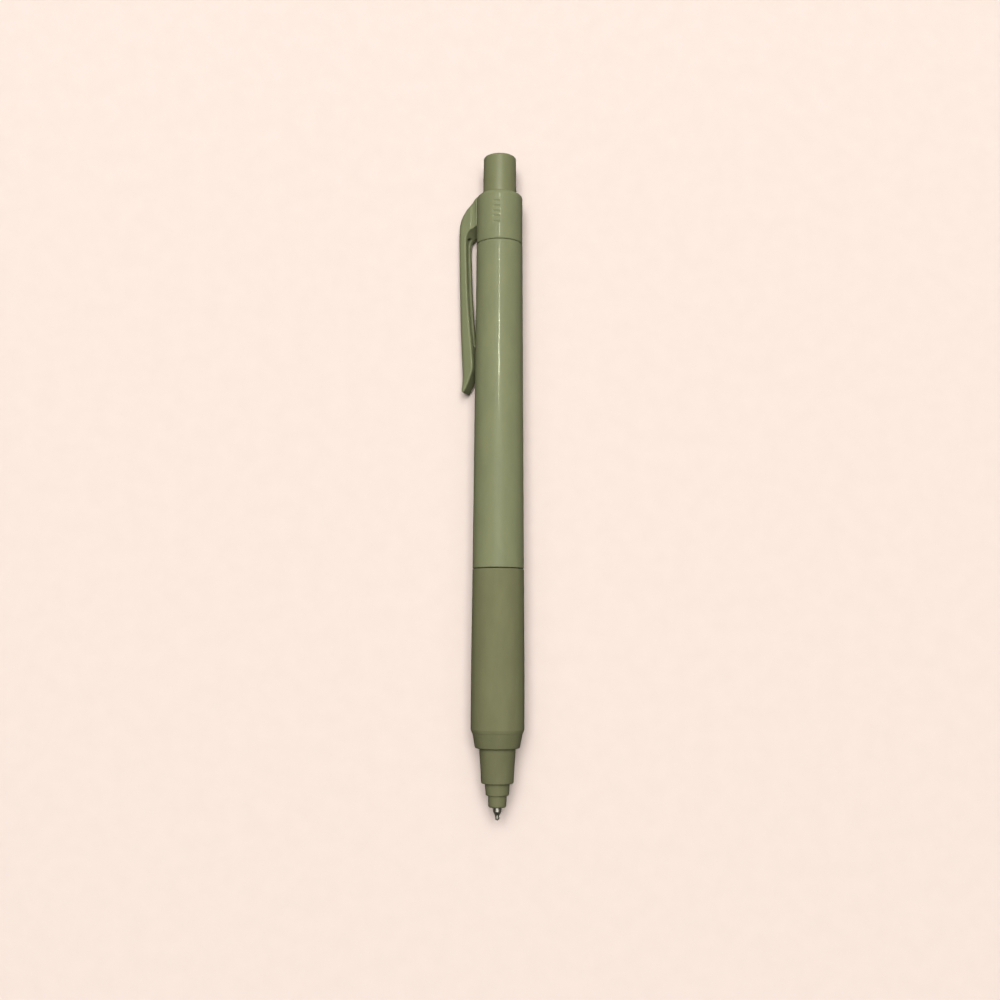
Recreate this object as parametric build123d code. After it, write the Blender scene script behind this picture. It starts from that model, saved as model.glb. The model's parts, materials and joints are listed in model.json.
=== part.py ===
from build123d import *
import os
from math import asin, atan, degrees, hypot, radians

# Retractable gel pen, in millimetres.
# Each piece is drawn upright: the pen's axis is Z, the ball's tip is at z = 0 and the button is on top.
# The tip is out. The whole pen is then laid down on its side, on the plane z = 0.

# Heights along the axis
OVERALL_LENGTH = 143.0
NOSE_END = 2.65
NOSE_LEDGES = (5.1, 7.55, 14.75)
GRIP_BOTTOM = 17.85
GRIP_SEAM = 52.2
COLLAR_SEAM = 123.1
COLLAR_TOP = 134.3

# Radii of the outer shape
BUTTON_TOP_R = 3.55
BUTTON_R = 3.64
COLLAR_R = 5.0
BARREL_TOP_R = 5.0
BARREL_BOTTOM_R = 5.45
GRIP_R = 5.62
GRIP_BEAD_R = 5.5
NOSE_TIER_R = ((1.88, 1.95), (2.41, 2.6), (3.37, 3.82), (4.66, 5.28))
TIP_FRONT_R = 0.88
TIP_R = 1.15

# Clearances
SEAM_GAP = 0.15
SLIDE_GAP = 0.08
TOUCH_GAP = 0.2

# Bores
TIP_HOLE_R = 1.0
TIP_PASSAGE_R = 1.3
TIP_HOLE_TOP = 5.3
SPRING_CHAMBER_R = 2.55
REFILL_BORE_R = 3.35
BARREL_BORE_R = 3.8
GUIDE_OUTER_R = 4.2
SPIGOT_SOCKET_R = 4.62
CHAMBER_FLOOR = 7.9
CHAMBER_TOP = 21.5

# Screw joint between the front section and the barrel
CORE_R = 4.55
SPIGOT_R = 4.25
SPIGOT_TOP = 61.5
SOCKET_TOP = 62.3
THREAD_CREST = 0.3
THREAD_PITCH = 1.6
THREAD_TURNS = 3

# Refill
REFILL_R = 3.05
REFILL_BORE = 2.6
HOLDER_BOTTOM = 10.2
HOLDER_SHOULDER = 24.8
HOLDER_TOP = 30.0
TUBE_TOP = 105.8
REFILL_TOP = 107.0
INK_TOP = 90.0
FOLLOWER_TOP = 95.0
BALL_R = 0.25

# Springs
RETURN_WIRE_R = 0.18
RETURN_COIL_R = 2.12
RETURN_TURNS = 9
TIP_WIRE_R = 0.06
TIP_COIL_R = 0.36
TIP_TURNS = 8

# Click mechanism
RIBS = 4
RIB_R = 3.5
RIB_ARC = 24.0
TOOTH_ARC = 45.0
CORE_ROD_R = 2.55
GUIDE_BOTTOM = 109.5
GUIDE_TOP = 132.2
GUIDE_BORE_R = BUTTON_R + SLIDE_GAP
GUIDE_WEB = (122.5, 123.3)
ROTOR_BOTTOM = REFILL_TOP + 0.1
ROTOR_TOP = 113.9
RAMP_HEIGHT = 112.0
RAMP_GAP = 0.7
RETRACT_STROKE = 4.0
RETRACT_TURN = 45.0
RAMP_ANGLE = degrees(atan(RETRACT_STROKE / (RIB_R * radians(RETRACT_TURN))))
CROWN_TEETH = 8
BUTTON_BOTTOM = 125.4
BUTTON_WALL = 1.0

# Pocket clip, drawn on the -X side: distances from the axis, and heights
CLIP_WIDTH = 3.5
CLIP_REACH = 9.33
CLIP_BEND = 127.6
CLIP_END = 90.6
CLIP_HEEL = 5.61
CLIP_FLANGE = 1.15
CLIP_BACK = 0.95
CLIP_BACK_ROUND = 0.9
CLIP_LEAN = 1.4
CLIP_POCKET = (101.0, 125.4)

# How the pen lies
REST_TILT = degrees(atan((GRIP_R - COLLAR_R) / (COLLAR_TOP - GRIP_BOTTOM)))


def turned(*corners):
    """A solid of revolution from (radius, height) corners, each with an optional rounding."""
    points = [corner[:2] for corner in corners]
    rounds = [corner[2] if len(corner) == 3 else 0 for corner in corners]
    outline = FilletPolyline(*points, radius=rounds, close=True)
    return revolve(Plane.XZ * make_face(outline), Axis.Z)


def coil(coil_r, wire_r, bottom, top, turns):
    """A round wire wound evenly between two heights."""
    low = bottom + wire_r
    high = top - wire_r
    line = Helix(pitch=(high - low) / turns, height=high - low, radius=coil_r, center=(0, 0, low))
    section = Plane(origin=line @ 0, z_dir=line % 0) * Circle(wire_r)
    return sweep(section, path=line, is_frenet=True)


def around(shape, count, start=0.0):
    """Copies of a shape spaced evenly about the axis."""
    return [Rot(Z=start + 360 / count * k) * shape for k in range(count)]


def sector(inner_r, outer_r, low, high, arc):
    """A piece of a ring that is centred on the +X side."""
    profile = Pos((inner_r + outer_r) / 2, (low + high) / 2) * Rectangle(outer_r - inner_r, high - low)
    return Rot(Z=-arc / 2) * revolve(Plane.XZ * profile, Axis.Z, arc)


def ramp_cutter(height, above):
    """A large block on one side of a slanted plane that crosses the +X side at a height."""
    size = 40.0
    side = size / 2 if above else -size / 2
    return Pos(0, 0, height) * Rot(X=RAMP_ANGLE) * Pos(0, 0, side) * Box(size, size, size)


# --- refill ---

def tip_ball():
    return Pos(0, 0, BALL_R) * Sphere(BALL_R)


def tip_body():
    shoulder = 1.75
    channel_bottom = shoulder + 0.15
    step = 7.2
    tube_top = HOLDER_BOTTOM + 4.0
    rim = 0.13
    channel_r = 0.55
    body = turned(
        (0, rim),
        (0.34, rim),
        (0.42, 0.42),
        (0.45, 1.05),
        (TIP_FRONT_R, shoulder, 0.25),
        (TIP_FRONT_R, step),
        (TIP_R, step + 0.4),
        (TIP_R, tube_top),
        (0, tube_top),
    )
    socket = Pos(0, 0, BALL_R) * Sphere(BALL_R + 0.015)
    throat = turned((0, BALL_R), (0.16, BALL_R), (0.16, channel_bottom), (0, channel_bottom))
    channel = turned((0, channel_bottom), (channel_r, channel_bottom), (channel_r, tube_top), (0, tube_top))
    return body - socket - throat - channel


def tip_spring():
    pin_r = 0.1
    pin_bottom = 2 * BALL_R + 0.02
    coil_bottom = 2.05
    coil_top = HOLDER_BOTTOM + 2.8
    pin = turned((0, pin_bottom), (pin_r, pin_bottom), (pin_r, coil_bottom + 0.2), (0, coil_bottom + 0.2))
    head_r = TIP_COIL_R + TIP_WIRE_R
    head = turned((0, coil_bottom), (head_r, coil_bottom), (head_r, coil_bottom + 0.2), (0, coil_bottom + 0.2))
    wire = coil(TIP_COIL_R, TIP_WIRE_R, coil_bottom + 0.15, coil_top, TIP_TURNS)
    return pin + head + wire


def refill_tip_holder():
    nose_r = 1.6
    seat_r = 2.38
    seat = 22.5
    body = turned(
        (TIP_R, HOLDER_BOTTOM),
        (nose_r - 0.2, HOLDER_BOTTOM),
        (nose_r, HOLDER_BOTTOM + 0.6),
        (nose_r + 0.05, seat),
        (seat_r, seat),
        (seat_r, seat + 0.9),
        (REFILL_R, seat + 1.5),
        (REFILL_R, HOLDER_SHOULDER),
        (REFILL_BORE, HOLDER_SHOULDER),
        (REFILL_BORE, HOLDER_TOP),
        (0.8, HOLDER_TOP),
        (0.8, HOLDER_BOTTOM + 4.0),
        (TIP_R, HOLDER_BOTTOM + 4.0),
    )
    return body


def refill_tube():
    return turned(
        (REFILL_BORE, HOLDER_SHOULDER),
        (REFILL_R, HOLDER_SHOULDER),
        (REFILL_R, TUBE_TOP),
        (REFILL_BORE, TUBE_TOP),
    )


def gel_ink():
    return turned(
        (0, HOLDER_BOTTOM + 4.0),
        (0.8, HOLDER_BOTTOM + 4.0),
        (0.8, HOLDER_TOP),
        (REFILL_BORE, HOLDER_TOP),
        (REFILL_BORE, INK_TOP),
        (0, INK_TOP),
    )


def ink_follower():
    return turned((0, INK_TOP), (REFILL_BORE, INK_TOP), (REFILL_BORE, FOLLOWER_TOP), (0, FOLLOWER_TOP - 1.2))


def refill_end_plug():
    vent_r = 0.4
    stem_bottom = TUBE_TOP - 4.0
    return turned(
        (vent_r, stem_bottom),
        (REFILL_BORE - 0.3, stem_bottom),
        (REFILL_BORE, stem_bottom + 0.6),
        (REFILL_BORE, TUBE_TOP),
        (REFILL_R, TUBE_TOP),
        (REFILL_R, REFILL_TOP, 0.3),
        (vent_r, REFILL_TOP),
    )


def return_spring():
    return coil(RETURN_COIL_R, RETURN_WIRE_R, CHAMBER_FLOOR + 0.05, 22.45, RETURN_TURNS)


# --- front end ---

def screw_thread():
    """A low helical ridge that is rooted in the spigot."""
    low = SPIGOT_TOP - 1.6 - THREAD_PITCH * THREAD_TURNS
    root = SPIGOT_R - 0.1
    height = THREAD_PITCH * THREAD_TURNS
    line = Helix(pitch=THREAD_PITCH, height=height, radius=root, center=(0, 0, low))
    ridge = Polyline((0, -0.4), (THREAD_CREST + 0.1, -0.1), (THREAD_CREST + 0.1, 0.1), (0, 0.4), close=True)
    section = Plane(origin=(root, 0, low), x_dir=(1, 0, 0), z_dir=(0, -1, 0)) * make_face(ridge)
    return sweep(section, path=line, is_frenet=True)


def front_section():
    tip_tier, small_tier, long_tier, top_tier = NOSE_TIER_R
    body = turned(
        (TIP_HOLE_R, NOSE_END),
        (tip_tier[0], NOSE_END, 0.45),
        (tip_tier[1], NOSE_LEDGES[0]),
        (small_tier[0], NOSE_LEDGES[0], 0.2),
        (small_tier[1], NOSE_LEDGES[1]),
        (long_tier[0], NOSE_LEDGES[1], 0.25),
        (long_tier[1], NOSE_LEDGES[2]),
        (top_tier[0], NOSE_LEDGES[2], 0.3),
        (top_tier[1], GRIP_BOTTOM),
        (CORE_R, GRIP_BOTTOM),
        (CORE_R, GRIP_SEAM - SEAM_GAP),
        (SPIGOT_R, GRIP_SEAM - SEAM_GAP),
        (SPIGOT_R, SPIGOT_TOP, 0.3),
        (REFILL_BORE_R, SPIGOT_TOP),
        (REFILL_BORE_R, CHAMBER_TOP),
        (SPRING_CHAMBER_R, CHAMBER_TOP),
        (SPRING_CHAMBER_R, CHAMBER_FLOOR),
        (TIP_PASSAGE_R, CHAMBER_FLOOR),
        (TIP_PASSAGE_R, TIP_HOLE_TOP),
        (TIP_HOLE_R, TIP_HOLE_TOP),
    )
    return body + screw_thread()


def grip_sleeve():
    bead_top = 18.6
    cylinder_top = 30.0
    top = GRIP_SEAM - SEAM_GAP
    return turned(
        (CORE_R, GRIP_BOTTOM),
        (GRIP_BEAD_R - 0.15, GRIP_BOTTOM),
        (GRIP_R, bead_top),
        (GRIP_R, cylinder_top),
        (BARREL_BOTTOM_R, top, 0.12),
        (CORE_R, top),
    )


# --- barrel, collar and clip ---

def barrel():
    step_top = GUIDE_BOTTOM - 0.1
    return turned(
        (SPIGOT_SOCKET_R, GRIP_SEAM),
        (BARREL_BOTTOM_R, GRIP_SEAM, 0.15),
        (BARREL_TOP_R, COLLAR_SEAM, 0.08),
        (GUIDE_OUTER_R, COLLAR_SEAM),
        (GUIDE_OUTER_R, step_top),
        (BARREL_BORE_R, step_top),
        (BARREL_BORE_R, SOCKET_TOP),
        (SPIGOT_SOCKET_R, SOCKET_TOP),
    )


def clip_blank():
    """The clip's side outline, pushed out to its width and rounded along its back."""
    crest = (-3.6, COLLAR_TOP)
    bend = (-CLIP_REACH, CLIP_BEND)
    tail = (-8.15, CLIP_END + 0.4)
    toe = (-7.4, CLIP_END + 0.5)
    heel_top = (-CLIP_HEEL, 96.3)
    waist = (-7.42, 124.1)
    throat_end = (-4.5, 128.0)
    shoulder = Spline(crest, (-5.3, 134.1), (-7.23, 132.5), (-8.44, 130.6), bend, tangents=((-1, 0), (0, -1)))
    back = Spline(bend, (-9.13, 116.0), (-8.7, 101.6), tail, tangents=((0, -1), (0.15, -1)))
    end = Spline(tail, (-7.85, CLIP_END), toe, tangents=((0.7, -1), (0.6, 1)))
    heel = Spline(toe, (-6.6, 92.9), heel_top, tangents=((0.6, 1), (0, 1)))
    belly = Spline(heel_top, (-5.97, 101.0), (-6.65, 107.7), (-7.05, 113.4), waist, tangents=((0, 1), (0, 1)))
    throat = Spline(waist, (-7.19, 125.9), (-6.49, 127.0), throat_end, tangents=((0, 1), (1, 0.45)))
    root = Polyline(throat_end, (crest[0], throat_end[1]), crest)
    outline = Wire([shoulder, back, end, heel, belly, throat] + list(root.edges()))
    blank = Pos(0, CLIP_WIDTH / 2, 0) * extrude(Plane.XZ * make_face(outline), CLIP_WIDTH)
    long_edges = blank.edges().filter_by(GeomType.BSPLINE)
    back_edges = [edge for edge in long_edges if edge.center().X < -8 and edge.center().Z > 100]
    return fillet(back_edges, CLIP_BACK_ROUND)


def clip_collar():
    lip_bottom = GUIDE_TOP
    collar = turned(
        (GUIDE_OUTER_R, COLLAR_SEAM),
        (COLLAR_R, COLLAR_SEAM, 0.12),
        (COLLAR_R, COLLAR_TOP, 0.95),
        (GUIDE_BORE_R, COLLAR_TOP, 0.2),
        (GUIDE_BORE_R, lip_bottom),
        (GUIDE_OUTER_R, lip_bottom),
    )
    low, high = CLIP_POCKET
    pocket_depth = 6.0
    pocket_back = CLIP_REACH - CLIP_BACK
    pocket = Box(
        pocket_depth,
        CLIP_WIDTH - 2 * CLIP_FLANGE,
        high - low,
        align=(Align.MIN, Align.CENTER, Align.MAX),
    )
    pocket = Pos(-pocket_back, 0, high) * Rot(Y=-CLIP_LEAN) * pocket
    bore = turned((0, COLLAR_SEAM - 1), (GUIDE_OUTER_R, COLLAR_SEAM - 1), (GUIDE_OUTER_R, lip_bottom), (0, lip_bottom))
    lip_bore = turned((0, lip_bottom), (GUIDE_BORE_R, lip_bottom), (GUIDE_BORE_R, COLLAR_TOP + 1), (0, COLLAR_TOP + 1))
    return collar + (clip_blank() - pocket - bore - lip_bore)


# --- click mechanism ---

def push_button():
    bore_r = BUTTON_R - BUTTON_WALL
    return turned(
        (bore_r, BUTTON_BOTTOM),
        (BUTTON_R, BUTTON_BOTTOM, 0.2),
        (BUTTON_R, COLLAR_TOP),
        (BUTTON_TOP_R, OVERALL_LENGTH, 0.5),
        (0, OVERALL_LENGTH),
        (0, OVERALL_LENGTH - 1.6),
        (bore_r, OVERALL_LENGTH - 1.6),
    )


def crown_notches(height):
    """Eight radial V notches whose corners point down the axis, for a crown of teeth."""
    notch = Pos(2.2, 0, height) * Rot(X=45) * Box(2.4, 0.9, 0.9)
    return around(notch, CROWN_TEETH)


def thrust_sleeve():
    bottom = ROTOR_TOP + TOUCH_GAP
    top = OVERALL_LENGTH - 1.6
    bore_r = 1.5
    rod = turned(
        (bore_r, bottom),
        (CORE_ROD_R, bottom),
        (CORE_ROD_R, BUTTON_BOTTOM),
        (BUTTON_R - BUTTON_WALL, BUTTON_BOTTOM),
        (BUTTON_R - BUTTON_WALL, top),
        (bore_r, top),
    )
    rib = sector(CORE_ROD_R - 0.2, RIB_R, bottom + 0.6, bottom + 4.2, RIB_ARC)
    return rod + around(rib, RIBS, RETRACT_TURN) - crown_notches(bottom)


def rotary_cam():
    core = turned(
        (0, ROTOR_BOTTOM),
        (CORE_ROD_R, ROTOR_BOTTOM),
        (CORE_ROD_R, ROTOR_TOP),
        (0, ROTOR_TOP),
    )
    rib = sector(CORE_ROD_R - 0.2, RIB_R, ROTOR_BOTTOM + 0.8, ROTOR_TOP, RIB_ARC)
    rib -= ramp_cutter(RAMP_HEIGHT, above=True)
    return core + around(rib, RIBS) - crown_notches(ROTOR_TOP)


def cam_guide_sleeve():
    web_low, web_high = GUIDE_WEB
    tooth_inner_r = CORE_ROD_R + TOUCH_GAP
    tube = turned(
        (GUIDE_BORE_R, GUIDE_BOTTOM),
        (GUIDE_OUTER_R, GUIDE_BOTTOM),
        (GUIDE_OUTER_R, GUIDE_TOP),
        (GUIDE_BORE_R, GUIDE_TOP),
        (GUIDE_BORE_R, web_high),
        (tooth_inner_r, web_high),
        (tooth_inner_r, web_low),
        (GUIDE_BORE_R, web_low),
    )
    tooth = sector(tooth_inner_r, GUIDE_OUTER_R - 0.1, GUIDE_BOTTOM + 0.1, web_high - 0.1, TOOTH_ARC)
    tooth -= ramp_cutter(RAMP_HEIGHT + RAMP_GAP, above=False)
    return tube + around(tooth, RIBS)


# --- laying the pen down ---

def roll_angle():
    """The pen rolls until the clip's rounded lower corner touches the table."""
    axis_height = COLLAR_R + (COLLAR_TOP - CLIP_BEND) * (GRIP_R - COLLAR_R) / (COLLAR_TOP - GRIP_BOTTOM)
    out = CLIP_REACH - CLIP_BACK_ROUND
    aside = CLIP_WIDTH / 2 - CLIP_BACK_ROUND
    return degrees(asin((axis_height - CLIP_BACK_ROUND) / hypot(out, aside)) - atan(aside / out))


def main():
    makers = (
        push_button,
        thrust_sleeve,
        clip_collar,
        cam_guide_sleeve,
        barrel,
        rotary_cam,
        front_section,
        grip_sleeve,
        return_spring,
        refill_end_plug,
        refill_tube,
        gel_ink,
        ink_follower,
        refill_tip_holder,
        tip_body,
        tip_spring,
        tip_ball,
    )
    laid = Rot(X=-90 - REST_TILT) * Rot(Z=-roll_angle())
    pieces = {maker.__name__: laid * maker() for maker in makers}
    box = Compound(children=[Compound(children=piece.solids()) for piece in pieces.values()]).bounding_box()
    to_floor = Pos(-box.center().X, -box.center().Y, -box.min.Z)
    os.makedirs("parts", exist_ok=True)
    for name, piece in pieces.items():
        export_step(to_floor * piece, f"parts/{name}.step")
    print("roll", roll_angle(), "tilt", REST_TILT, "moved", to_floor.position)


main()
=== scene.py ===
import json
from math import acos, asin, cos, hypot, pi, radians, sin, tan

import bmesh
import bpy
from mathutils import Matrix, Vector


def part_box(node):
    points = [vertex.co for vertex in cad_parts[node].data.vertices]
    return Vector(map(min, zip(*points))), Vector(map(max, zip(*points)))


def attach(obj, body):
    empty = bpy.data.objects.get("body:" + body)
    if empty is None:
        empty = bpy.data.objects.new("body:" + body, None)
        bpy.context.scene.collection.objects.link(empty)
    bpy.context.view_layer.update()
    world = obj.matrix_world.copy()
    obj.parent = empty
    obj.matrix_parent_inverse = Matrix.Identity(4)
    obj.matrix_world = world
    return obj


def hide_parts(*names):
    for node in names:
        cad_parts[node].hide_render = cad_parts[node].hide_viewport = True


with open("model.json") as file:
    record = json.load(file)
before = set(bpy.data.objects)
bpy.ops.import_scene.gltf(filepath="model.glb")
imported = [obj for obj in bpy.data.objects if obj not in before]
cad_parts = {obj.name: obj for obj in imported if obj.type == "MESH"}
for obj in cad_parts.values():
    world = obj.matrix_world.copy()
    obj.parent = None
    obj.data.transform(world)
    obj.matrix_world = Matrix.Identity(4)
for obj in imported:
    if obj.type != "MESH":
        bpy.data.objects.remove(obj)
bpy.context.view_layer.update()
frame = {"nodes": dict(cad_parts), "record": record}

MM = 0.001

# ------------------------------ the pen's own frame: tip at the origin, button up +Z, clip on -X, in mm
MOUNTS = {mount["name"]: mount for mount in frame["record"]["mounts"]}
UP = Vector(MOUNTS["button_face"]["axis"]).normalized()
BALL_LOW, BALL_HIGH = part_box("tip_ball")
TIP = (BALL_LOW + BALL_HIGH) / 2 - UP * (BALL_HIGH.x - BALL_LOW.x) / 2
SIDE = Vector((1, 0, 0))
ABOVE = SIDE.cross(UP)
CLIP_IN = Vector(MOUNTS["pocket_clip"]["axis"])
PEN_X = (CLIP_IN - UP * CLIP_IN.dot(UP)).normalized()
PEN_Y = UP.cross(PEN_X)
PEN = Matrix.Translation(TIP) @ Matrix((PEN_X, PEN_Y, UP)).transposed().to_4x4() @ Matrix.Scale(MM, 4)


def heights(node):
    """How far a CAD node reaches along the pen, in mm from the tip."""
    places = [(corner.co - TIP).dot(UP) / MM for corner in frame["nodes"][node].data.vertices]
    return min(places), max(places)


def girth(node):
    """The largest distance of a CAD node from the pen's axis, in mm."""
    places = [corner.co - TIP for corner in frame["nodes"][node].data.vertices]
    return max((place - UP * place.dot(UP)).length for place in places) / MM


SPIGOT_TOP = heights("front_section")[1]
GRIP_BOTTOM, GRIP_TOP = heights("grip_sleeve")
BARREL_BOTTOM, BARREL_TOP = heights("barrel")
COLLAR_TOP = heights("clip_collar")[1]
BUTTON_BOTTOM, BUTTON_TOP = heights("push_button")
GRIP_R = girth("grip_sleeve")
BARREL_R = girth("barrel")
BUTTON_R = girth("push_button")
GUIDE_R = girth("cam_guide_sleeve")
COLLAR_R = 5.0
CORE_R = 4.55
SOCKET_R = 4.62
BUTTON_BORE_R = BUTTON_R + 0.08
GRAIN_HEIGHT = 0.02 * MM


# ---------------------------------------------------------------- materials
def colour(text, alpha=1.0):
    """Linear colour from an sRGB hex string."""
    values = [int(text[k:k + 2], 16) / 255 for k in (0, 2, 4)]
    return [v / 12.92 if v <= 0.04045 else ((v + 0.055) / 1.055) ** 2.4 for v in values] + [alpha]


def new_material(name, **sockets):
    """A material with its node tree and shader; a socket's spaces are written as underscores."""
    material = bpy.data.materials.new(name)
    material.use_nodes = True
    shader = material.node_tree.nodes["Principled BSDF"]
    for socket, value in sockets.items():
        shader.inputs[socket.replace("_", " ")].default_value = value
    return material, material.node_tree, shader


def noise(tree, scale, detail=2.0, rough=0.5, stretch=(1, 1, 1)):
    """Noise in the piece's own coordinates, in metres."""
    place = tree.nodes.new("ShaderNodeTexCoord")
    mapping = tree.nodes.new("ShaderNodeMapping")
    mapping.inputs["Scale"].default_value = stretch
    texture = tree.nodes.new("ShaderNodeTexNoise")
    texture.inputs["Scale"].default_value = scale
    texture.inputs["Detail"].default_value = detail
    texture.inputs["Roughness"].default_value = rough
    tree.links.new(place.outputs["Object"], mapping.inputs["Vector"])
    tree.links.new(mapping.outputs["Vector"], texture.inputs["Vector"])
    return texture.outputs["Fac"]


def spread(tree, fac, low, high, start=0.3, end=0.7):
    """Turns noise into a smooth range of values."""
    node = tree.nodes.new("ShaderNodeMapRange")
    node.inputs["From Min"].default_value = start
    node.inputs["From Max"].default_value = end
    node.inputs["To Min"].default_value = low
    node.inputs["To Max"].default_value = high
    tree.links.new(fac, node.inputs["Value"])
    return node.outputs["Result"]


def tones(tree, fac, first, second):
    """Mixes two colours by noise."""
    ramp = tree.nodes.new("ShaderNodeValToRGB")
    ramp.color_ramp.elements[0].position = 0.32
    ramp.color_ramp.elements[0].color = colour(first)
    ramp.color_ramp.elements[1].position = 0.68
    ramp.color_ramp.elements[1].color = colour(second)
    tree.links.new(fac, ramp.inputs["Fac"])
    return ramp.outputs["Color"]


def grain(tree, shader, fac, strength, distance):
    """Fine bumps that follow noise."""
    bump = tree.nodes.new("ShaderNodeBump")
    bump.inputs["Strength"].default_value = strength
    bump.inputs["Distance"].default_value = distance
    tree.links.new(fac, bump.inputs["Height"])
    tree.links.new(bump.outputs["Normal"], shader.inputs["Normal"])


def moulded(name, first, second, rough, specular, coat=0.0, grain_scale=2600, grain_depth=0.25):
    """Satin moulded plastic: faint flow marks in the colour, fine grain, a slightly uneven gloss."""
    material, tree, shader = new_material(
        name, Specular_IOR_Level=specular, Coat_Weight=coat, Coat_Roughness=0.05, Coat_IOR=1.45)
    flow_marks = noise(tree, 420, 3.0, 0.6, (1, 0.35, 1))
    gloss = spread(tree, noise(tree, 900), rough - 0.04, rough + 0.04)
    tree.links.new(tones(tree, flow_marks, first, second), shader.inputs["Base Color"])
    tree.links.new(gloss, shader.inputs["Roughness"])
    grain(tree, shader, noise(tree, grain_scale, 2.0, 0.6), grain_depth, GRAIN_HEIGHT)
    return material


def metal(name, first, second, rough, stretch):
    """Turned, drawn or polished metal; stretch draws its marks out along one direction."""
    material, tree, shader = new_material(name, Metallic=1.0)
    stains = noise(tree, 1500, 2.0, 0.5, stretch)
    gloss = spread(tree, noise(tree, 4000, 2.0, 0.5, stretch), rough * 0.75, rough * 1.25)
    tree.links.new(tones(tree, stains, first, second), shader.inputs["Base Color"])
    tree.links.new(gloss, shader.inputs["Roughness"])
    grain(tree, shader, noise(tree, 9000, 1.0, 0.5, stretch), 0.15, GRAIN_HEIGHT / 5)
    return material


def translucent(name, first, second, rough, see_through):
    """Clear plastic or grease, slightly cloudy."""
    material, tree, shader = new_material(name, Transmission_Weight=see_through, IOR=1.49)
    gloss = spread(tree, noise(tree, 800), rough * 0.8, rough * 1.2)
    tree.links.new(tones(tree, noise(tree, 300), first, second), shader.inputs["Base Color"])
    tree.links.new(gloss, shader.inputs["Roughness"])
    grain(tree, shader, noise(tree, 1200), 0.1, GRAIN_HEIGHT)
    return material


FINISH = {
    "body_plastic": moulded("body_plastic", "6e7153", "737656", 0.48, 0.03, coat=0.045),
    "button_plastic": moulded("button_plastic", "686a4b", "6c6e4f", 0.42, 0.1),
    "soft_grip": moulded(
        "soft_grip", "636347", "68684b", 0.75, 0.04, grain_scale=3600, grain_depth=0.5),
    "nose_plastic": moulded(
        "nose_plastic", "5c5c42", "616146", 0.66, 0.05, grain_scale=3200, grain_depth=0.4),
    "tip_metal": metal("tip_metal", "827f77", "959289", 0.38, (1, 0.05, 1)),
    "ball_metal": metal("ball_metal", "6c6c6e", "85858a", 0.12, (1, 1, 1)),
    "spring_steel": metal("spring_steel", "a6a6a8", "bcbcbf", 0.28, (1, 1, 1)),
    "white_plastic": moulded("white_plastic", "dcdad3", "e6e4de", 0.35, 0.5),
    "refill_clear": translucent("refill_clear", "e6eaea", "f2f5f5", 0.18, 0.85),
    "gel_ink": moulded("gel_ink", "101014", "17171c", 0.22, 0.5, grain_depth=0.05),
    "grease": translucent("grease", "e0d9b4", "ece6c6", 0.3, 0.5),
}


# ---------------------------------------------------------------- mesh helpers
def rounded(corners, steps=6):
    """The (radius, height[, rounding]) corners of a closed outline, with arcs at the rounded ones."""
    points = []
    for k, corner in enumerate(corners):
        here = Vector(corner[:2])
        before = Vector(corners[k - 1][:2])
        after = Vector(corners[(k + 1) % len(corners)][:2])
        radius = corner[2] if len(corner) == 3 else 0
        if not radius:
            points.append(here)
            continue
        back, on = (before - here).normalized(), (after - here).normalized()
        half = acos(max(-1, min(1, back.dot(on)))) / 2
        reach = radius / tan(half)
        centre = here + (back + on).normalized() * radius / sin(half)
        start, finish = here + back * reach - centre, here + on * reach - centre
        sweep = start.angle_signed(finish)
        for step in range(steps + 1):
            points.append(centre + Matrix.Rotation(-sweep * step / steps, 2) @ start)
    return points


def turned_mesh(corners, sides=192):
    """A bmesh of revolution about +Z, in mm."""
    points = rounded(corners)
    mesh = bmesh.new()
    rings = []
    for side in range(sides):
        a = 2 * pi * side / sides
        rings.append([mesh.verts.new((p.x * cos(a), p.x * sin(a), p.y)) for p in points])
    for side in range(sides):
        here, beyond = rings[side], rings[(side + 1) % sides]
        for k in range(len(points)):
            after = (k + 1) % len(points)
            if points[k].x < 1e-6 and points[after].x < 1e-6:
                continue
            mesh.faces.new((here[k], beyond[k], beyond[after], here[after]))
    bmesh.ops.remove_doubles(mesh, verts=mesh.verts, dist=1e-5)
    bmesh.ops.dissolve_degenerate(mesh, dist=1e-6, edges=mesh.edges)
    bmesh.ops.recalc_face_normals(mesh, faces=mesh.faces)
    return mesh


def as_object(name, mesh):
    """Turns a bmesh into an object of the scene."""
    data = bpy.data.meshes.new(name)
    mesh.to_mesh(data)
    mesh.free()
    piece = bpy.data.objects.new(name, data)
    bpy.context.scene.collection.objects.link(piece)
    return piece


def baked(piece):
    """The piece's mesh with its modifiers applied."""
    bpy.context.view_layer.update()
    shape = bpy.data.meshes.new_from_object(piece.evaluated_get(bpy.context.evaluated_depsgraph_get()))
    piece.modifiers.clear()
    piece.data = shape
    return shape


def placed(piece, body, finish, *nodes, sharp=30):
    """Puts a piece made in pen millimetres into the row frame, with its body, slot and material."""
    piece.data.transform(PEN)
    piece.data.shade_smooth()
    piece.data.set_sharp_from_angle(angle=radians(sharp))
    piece.data.materials.clear()
    piece.data.materials.append(FINISH[finish])
    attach(piece, body)
    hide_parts(*nodes)
    return piece


# ---------------------------------------------------------------- pieces that are turned about the pen's axis
def button():
    """A hollow cap with a faintly dished end face and a rounded rim."""
    face_r = 3.55
    dish_r = 3.0
    bore = BUTTON_R - 1.0
    roof = BUTTON_TOP - 1.6
    shape = turned_mesh([
        (bore, BUTTON_BOTTOM), (BUTTON_R, BUTTON_BOTTOM, 0.2), (BUTTON_R, COLLAR_TOP),
        (face_r, BUTTON_TOP, 0.42), (dish_r, BUTTON_TOP - 0.03, 0.6), (0, BUTTON_TOP - 0.07),
        (0, roof), (bore, roof),
    ])
    placed(as_object("button_cap", shape), "button", "button_plastic", "push_button")


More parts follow.
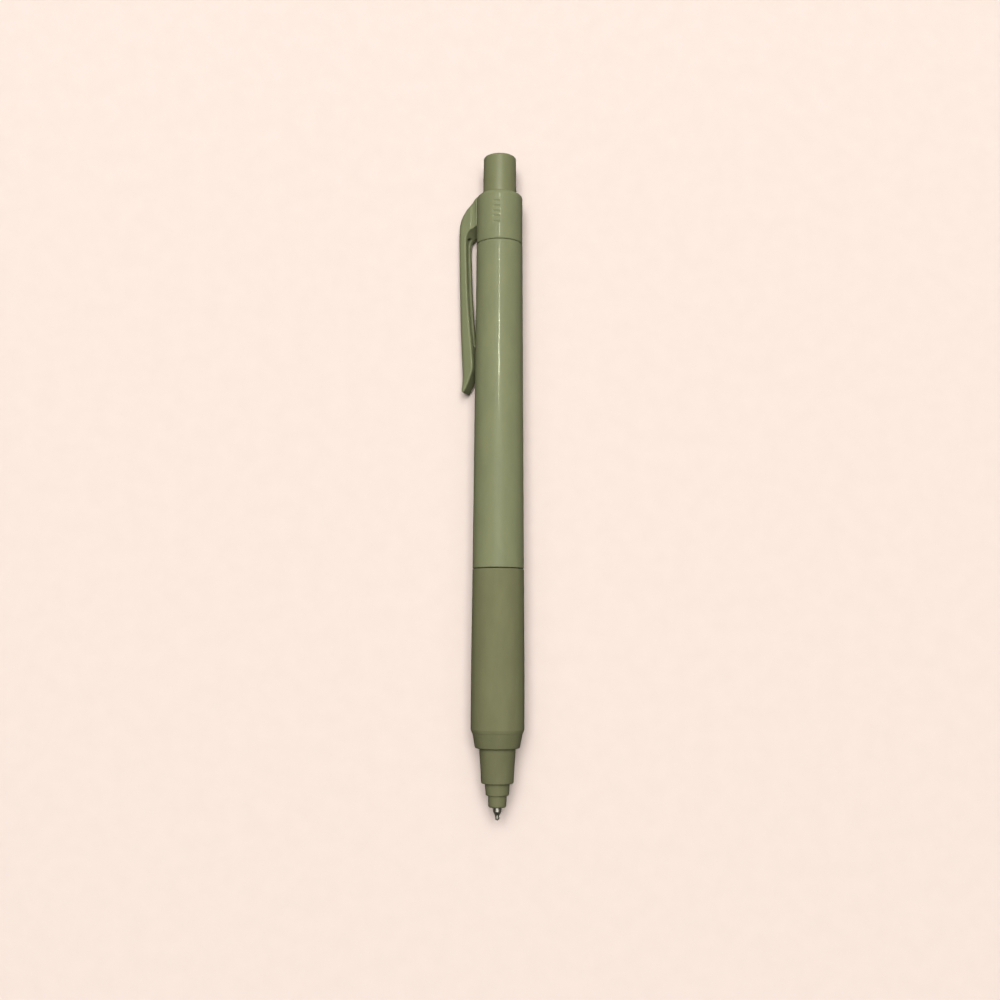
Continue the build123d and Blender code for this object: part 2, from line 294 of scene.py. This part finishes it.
def barrel():
    """The tube between the two seams, with the bores for the guide sleeve, the refill and the spigot."""
    step = heights("cam_guide_sleeve")[0] - 0.1
    socket_top = SPIGOT_TOP + 0.8
    refill_room = 3.8
    top = BARREL_TOP - 0.06
    shape = turned_mesh([
        (SOCKET_R, BARREL_BOTTOM), (BARREL_R, BARREL_BOTTOM, 0.16), (BARREL_R - 0.01, BARREL_BOTTOM + 0.6),
        (COLLAR_R + 0.01, BARREL_TOP - 0.7), (COLLAR_R, top, 0.18), (GUIDE_R, top),
        (GUIDE_R, step), (refill_room, step), (refill_room, socket_top), (SOCKET_R, socket_top),
    ])
    placed(as_object("barrel_tube", shape), "pen_body", "body_plastic", "barrel")


def grip():
    """The soft sleeve: parallel over its lower part, then tapering gently to the barrel."""
    taper_start = GRIP_BOTTOM + 12.2
    shape = turned_mesh([
        (CORE_R, GRIP_BOTTOM), (GRIP_R - 0.27, GRIP_BOTTOM, 0.12), (GRIP_R, GRIP_BOTTOM + 0.75, 0.5),
        (GRIP_R, taper_start, 60), (BARREL_R, GRIP_TOP, 0.14), (CORE_R, GRIP_TOP),
    ])
    placed(as_object("soft_grip", shape), "front_end", "soft_grip", "grip_sleeve")


# ---------------------------------------------------------------- collar and clip, one moulding
def spline(points, z):
    """Smooth interpolation of (height, value) points that are in rising order."""
    for k in range(len(points) - 1):
        if z <= points[k + 1][0]:
            break
    (z0, v0), (z1, v1) = points[k], points[k + 1]
    slopes = []
    for j in (k, k + 1):
        low, high = points[max(j - 1, 0)], points[min(j + 1, len(points) - 1)]
        slopes.append((high[1] - low[1]) / (high[0] - low[0]))
    t = min(max((z - z0) / (z1 - z0), 0), 1)
    h = z1 - z0
    return ((2 * t**3 - 3 * t**2 + 1) * v0 + (t**3 - 2 * t**2 + t) * h * slopes[0]
            + (3 * t**2 - 2 * t**3) * v1 + (t**3 - t**2) * h * slopes[1])


def ease(value, low, high):
    """0 below low, 1 above high, smooth between."""
    t = min(max((value - low) / (high - low), 0), 1)
    return t * t * (3 - 2 * t)


CLIP_HALF = 1.75
# (height along the pen, distance from its axis) along the clip's outer and inner edges
OUTER = [
    (90.62, 7.95), (90.8, 8.18), (91.1, 8.31), (93.5, 8.43), (98.0, 8.67), (101.6, 8.87), (107.0, 9.1),
    (116.0, 9.3), (124.0, 9.44), (127.2, 9.51), (128.5, 9.47), (130.0, 9.05), (131.3, 8.32),
    (132.4, 7.33), (133.3, 6.31), (133.9, 5.6), (134.28, 4.9),
]
INNER = [
    (90.62, 7.8), (90.9, 7.6), (91.4, 7.28), (92.9, 6.6), (94.7, 5.9), (95.5, 5.69), (96.3, 5.62),
    (98.0, 5.7), (101.0, 5.97), (104.0, 6.32), (107.7, 6.65), (113.4, 7.05), (118.0, 7.25),
    (124.1, 7.42), (125.0, 7.38), (125.9, 7.19), (126.5, 6.85), (127.0, 6.4), (127.5, 5.5),
    (128.0, 4.5), (128.4, 4.3), (134.28, 4.3),
]
CLIP_BOTTOM = OUTER[0][0]
CLIP_TOP = OUTER[-1][0]
ROOT_BOTTOM = 127.0
POCKET_BOTTOM = 101.0
POCKET_TOP = 125.6
FLANGE = 1.15
TICKS = 5
TICK_LOW = 126.9
TICK_PITCH = 1.15
TICK_DEPTH = 0.13
TICK_HALF = 0.72
TICK_TURN = asin(CLIP_IN.z) - radians(8)


def joined(rings):
    """A closed bmesh through rings of corners, with the first and last ring as its ends."""
    mesh = bmesh.new()
    layers = [[mesh.verts.new(place) for place in ring] for ring in rings]
    count = len(layers[0])
    for low, high in zip(layers, layers[1:]):
        for k in range(count):
            mesh.faces.new((low[k], low[(k + 1) % count], high[(k + 1) % count], high[k]))
    mesh.faces.new(layers[0])
    mesh.faces.new(layers[-1])
    bmesh.ops.recalc_face_normals(mesh, faces=mesh.faces)
    return mesh


def clip_mesh():
    """The clip's bar: a rounded, slightly narrower back, and flanges with softened inner edges."""
    back_round, inner_round = 1.4, 0.32
    back_inset = 0.4
    throat_slant = 1.3
    length = CLIP_TOP - CLIP_BOTTOM
    levels = [CLIP_BOTTOM + length * (1 - cos(pi * k / 220)) / 2 for k in range(221)]
    tail_levels = [CLIP_BOTTOM + 0.05 * k for k in range(20)]
    shoulder_levels = [133.0 + 0.04 * k for k in range(32)]
    rings = []
    for z in sorted(set(levels + tail_levels + shoulder_levels)):
        out = spline(OUTER, z)
        into = min(spline(INNER, z), out - 0.06)
        depth = out - into
        rb = min(back_round, depth * 0.6)
        ri = min(inner_round, depth * 0.3)
        narrow = CLIP_HALF - back_inset * min(1, depth / 2)
        corners = [(-out, -narrow, rb), (-into, -CLIP_HALF, ri), (-into, CLIP_HALF, ri), (-out, narrow, rb)]
        slant = throat_slant * ease(z, 122, 126) * (1 - ease(z, 129, 133))
        rings.append([(p.x, p.y, z - slant * ease(p.y, -1.3, CLIP_HALF)) for p in rounded(corners, 8)])
    return joined(rings)


def pocket_mesh():
    """What is taken out of the clip's inner side, between its two flanges."""
    half = CLIP_HALF - FLANGE
    wall = 1.1
    mouth = 3.0
    steps = 40
    rings = []
    for k in range(steps + 1):
        z = POCKET_BOTTOM + (POCKET_TOP - POCKET_BOTTOM) * k / steps
        back = spline(OUTER, z) - wall
        rings.append([(-back, -half, z), (-back, half, z), (-mouth, half, z), (-mouth, -half, z)])
    return joined(rings)


def near_root(place):
    """1 where the clip's sides run into the collar, falling to 0 at the blend's edge."""
    root_out = 4.6
    blend_r = 0.8
    if place.z < ROOT_BOTTOM:
        return 0.0
    aside = hypot(place.x + root_out, abs(place.y) - CLIP_HALF - 0.1)
    return max(0.0, 1 - aside / blend_r)


def side_dip(place):
    """How deep the clip's root is pressed in on its sides: a wide hollow, and a groove at the collar."""
    hollow_depth, groove_depth = 0.26, 0.2
    out = -place.x
    if place.z < ROOT_BOTTOM or out < 4.4 or abs(abs(place.y) - CLIP_HALF) > 0.35:
        return 0.0
    rim = spline(OUTER, min(place.z, CLIP_TOP - 0.08))
    hollow = ease(out, 5.05, 5.4) * (1 - ease(out, 6.05, 6.4))
    groove = 1 - ease(abs(out - 4.7), 0.05, 0.3)
    along = ease(place.z, ROOT_BOTTOM - 0.2, ROOT_BOTTOM + 0.8) * (1 - ease(out, rim - 1.5, rim - 0.9))
    return (hollow_depth * hollow + groove_depth * groove) * along


def tick_marks(place):
    """How deep the row of plain grip ticks is pressed into the front of the collar."""
    toward = Vector((sin(TICK_TURN), -cos(TICK_TURN)))
    flat = Vector((place.x, place.y))
    if flat.length < COLLAR_R - 0.3 or flat.dot(toward) < 4:
        return 0.0
    aside = abs(flat.dot(Vector((toward.y, -toward.x))))
    step = (place.z - TICK_LOW) / TICK_PITCH
    if step < -0.5 or step > TICKS - 0.5:
        return 0.0
    off = abs(step - round(step)) * TICK_PITCH
    return TICK_DEPTH * (1 - ease(off, 0.08, 0.26)) * (1 - ease(aside, TICK_HALF - 0.1, TICK_HALF + 0.1))


def smoothed(piece, name, iterations, group=""):
    """Adds smoothing, of the whole piece or of one group of its corners."""
    smooth = piece.modifiers.new(name, "SMOOTH")
    smooth.factor = 0.5
    smooth.iterations = iterations
    smooth.vertex_group = group


def pressed(shape):
    """Moves the corners of the collar's mesh for the hollows, grooves and ticks."""
    for corner in shape.vertices:
        corner.co.y -= (1 if corner.co.y > 0 else -1) * side_dip(corner.co)
        depth = tick_marks(corner.co)
        if depth:
            inward = 1 - depth / hypot(corner.co.x, corner.co.y)
            corner.co.x *= inward
            corner.co.y *= inward


def collar():
    """The collar with its rounded shoulder and the clip, joined, hollowed, and softened at the root."""
    lip = heights("cam_guide_sleeve")[1]
    piece = as_object("collar_and_clip", turned_mesh([
        (GUIDE_R, BARREL_TOP), (COLLAR_R, BARREL_TOP, 0.2), (COLLAR_R, COLLAR_TOP, 0.95),
        (BUTTON_BORE_R, COLLAR_TOP, 0.2), (BUTTON_BORE_R, lip), (GUIDE_R, lip),
    ], 256))
    clip = as_object("clip_form", clip_mesh())
    bore = as_object("bore_form", turned_mesh([
        (0, 88), (GUIDE_R, 88), (GUIDE_R, lip), (BUTTON_BORE_R, lip), (BUTTON_BORE_R, 140), (0, 140),
    ], 256))
    pocket = as_object("pocket_form", pocket_mesh())
    for form, kind in ((clip, "UNION"), (pocket, "DIFFERENCE"), (bore, "DIFFERENCE")):
        cut = piece.modifiers.new(kind, "BOOLEAN")
        cut.operation = kind
        cut.solver = "EXACT"
        cut.object = form
    baked(piece)
    for form in (clip, bore, pocket):
        bpy.data.objects.remove(form)
    remesh = piece.modifiers.new("even", "REMESH")
    remesh.mode = "VOXEL"
    remesh.voxel_size = 0.12
    remesh.use_smooth_shade = True
    baked(piece)
    group = piece.vertex_groups.new(name="root")
    for corner in piece.data.vertices:
        share = near_root(corner.co)
        if share > 0:
            group.add([corner.index], share, "REPLACE")
    smoothed(piece, "root_blend", 6, "root")
    smoothed(piece, "settle", 3)
    pressed(baked(piece))
    placed(piece, "pen_body", "body_plastic", "clip_collar", sharp=60)


# ---------------------------------------------------------------- stage
def stage_floor():
    """Plain pale paper; the pen doesn't pick up its colour."""
    size = 1.6
    mesh = bpy.data.meshes.new("floor")
    corners = [(-size, -size, 0), (size, -size, 0), (size, size, 0), (-size, size, 0)]
    mesh.from_pydata(corners, [], [(0, 1, 2, 3)])
    floor = bpy.data.objects.new("floor", mesh)
    bpy.context.scene.collection.objects.link(floor)
    material, tree, shader = new_material("floor_paper", Roughness=0.95, Specular_IOR_Level=0.05)
    tree.links.new(tones(tree, noise(tree, 250, 3.0), "ccbdb4", "cebfb6"), shader.inputs["Base Color"])
    mesh.materials.append(material)
    floor.visible_diffuse = False
    floor.visible_glossy = False


def area_light(name, place, target, size, power, tint=(1, 1, 1)):
    """A rectangular light that faces the target."""
    data = bpy.data.lights.new(name, "AREA")
    data.shape = "RECTANGLE"
    data.size, data.size_y = size
    data.energy = power
    data.color = tint
    light = bpy.data.objects.new(name, data)
    light.location = place
    light.rotation_euler = (Vector(target) - Vector(place)).to_track_quat("-Z", "Y").to_euler()
    bpy.context.scene.collection.objects.link(light)
    return light


def camera():
    """Looks down on the pen from above its grip, a little toward the button, which is up in the picture."""
    height = 254.8 * MM
    foot = 36.5 * MM
    beside = 0.32 * MM
    pitch = radians(6.8)
    roll = radians(-0.23)
    look = UP * sin(pitch) - ABOVE * cos(pitch)
    top = UP * cos(pitch) + ABOVE * sin(pitch)
    top = Matrix.Rotation(roll, 3, look) @ top
    right = look.cross(top)
    turn = Matrix((right, top, -look)).transposed()
    data = bpy.data.cameras.new("camera")
    data.lens = 43.2
    data.sensor_width = 36
    data.clip_start = 0.01
    eye = bpy.data.objects.new("camera", data)
    eye.matrix_world = Matrix.Translation(TIP + UP * foot + ABOVE * height + SIDE * beside) @ turn.to_4x4()
    bpy.context.scene.collection.objects.link(eye)
    bpy.context.scene.camera = eye


def dim_room():
    """A world that is warm and faint below the horizon, and nearly dark above it."""
    world = bpy.data.worlds.new("studio")
    bpy.context.scene.world = world
    world.use_nodes = True
    background = world.node_tree.nodes["Background"]
    links = world.node_tree.links
    place = world.node_tree.nodes.new("ShaderNodeTexCoord")
    split = world.node_tree.nodes.new("ShaderNodeSeparateXYZ")
    shade = world.node_tree.nodes.new("ShaderNodeValToRGB")
    shade.color_ramp.elements[0].position = 0.42
    shade.color_ramp.elements[0].color = (0.26, 0.225, 0.195, 1)
    shade.color_ramp.elements[1].position = 0.55
    shade.color_ramp.elements[1].color = (0.045, 0.044, 0.042, 1)
    height = world.node_tree.nodes.new("ShaderNodeMapRange")
    height.inputs["From Min"].default_value = -1
    links.new(place.outputs["Generated"], split.inputs["Vector"])
    links.new(split.outputs["Z"], height.inputs["Value"])
    links.new(height.outputs["Result"], shade.inputs["Fac"])
    links.new(shade.outputs["Color"], background.inputs["Color"])


def studio():
    """A soft light above the button's end, a wide fill round it, and two slim windows for the long gleam."""
    bpy.context.scene.view_settings.view_transform = "Standard"
    area_light("softbox", (-0.08, 0.85, 2.75), (0, 0, 0), (1.9, 1.9), 122)
    area_light("fill", (0, 0.85, 2.75), (0, 0, 0), (5.6, 5.6), 60)
    for name, forward, length, power in (("window", 0.306, 0.065, 4.8), ("long_window", 0.35, 0.23, 11)):
        gleam = area_light(name, (0, forward, 1.0), (0, 0.02, 0), (0.04, length), power, (0.97, 1, 0.74))
        gleam.visible_diffuse = False


for name, piece in frame["nodes"].items():
    wanted = next(part["material_slot"] for part in frame["record"]["subparts"] if part["node"] == name)
    piece.data.materials.clear()
    piece.data.materials.append(FINISH[wanted])

button()
barrel()
grip()
collar()
camera()
stage_floor()
dim_room()
studio()
